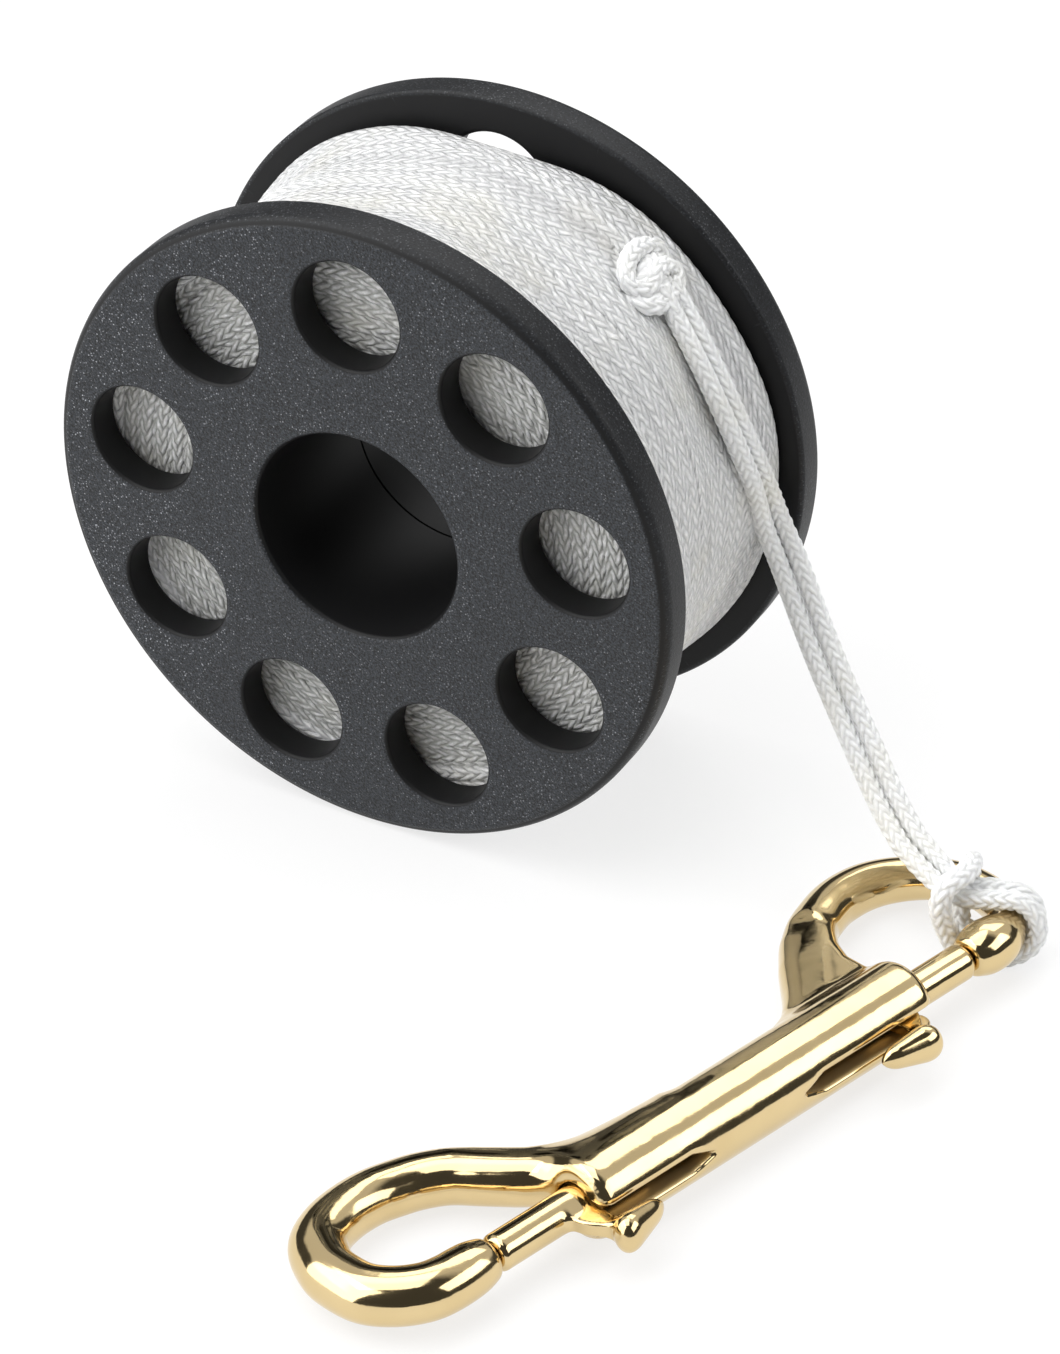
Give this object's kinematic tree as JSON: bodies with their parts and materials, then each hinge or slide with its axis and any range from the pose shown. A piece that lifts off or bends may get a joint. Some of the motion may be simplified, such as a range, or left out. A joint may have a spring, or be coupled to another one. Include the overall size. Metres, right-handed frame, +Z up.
{
  "type": "finger spool",
  "caption": "Finger spool: two perforated round flanges on a hub with a finger bore, wound with braided line, its end loop hitched to a double-ended bolt snap",
  "frame": {"origin": "middle of the underside of the bounding box of all but the end loop, on the surface that the spool stands on", "axes": "+Z up, the spool's axis along Y with the front flange towards -Y, and the snap lying on the surface at +X"},
  "size_m": [0.1215, 0.1158, 0.08],
  "materials": {
    "black_plastic": "fine spark-eroded moulding",
    "braided_line": "braided nylon",
    "brass": "polished",
    "spring_steel": "drawn wire"
  },
  "bodies": {
    "spool_and_snap": {"spool_half_front": "black_plastic", "spool_half_rear": "black_plastic", "line_core": "braided_line", "line_outer_layer": "braided_line", "knot": "braided_line", "end_loop": "braided_line", "snap_body": "brass", "spring_tied_hook": "spring_steel", "spring_free_hook": "spring_steel"},
    "tied_hook_bolt": {"bolt_tied_hook": "brass"},
    "free_hook_bolt": {"bolt_free_hook": "brass"}
  },
  "joints": [
    {"name": "tied_hook_gate", "type": "slide", "parent": "spool_and_snap", "child": "tied_hook_bolt", "axis": [-0.3103, -0.9506, 0], "range_m": [0, 0.012], "stiffness_N_per_m": 250, "springref_m": -0.004, "deforming": ["spring_tied_hook"]},
    {"name": "free_hook_gate", "type": "slide", "parent": "spool_and_snap", "child": "free_hook_bolt", "axis": [0.3103, 0.9506, 0], "range_m": [0, 0.012], "stiffness_N_per_m": 250, "springref_m": -0.004, "deforming": ["spring_free_hook"]}
  ]
}
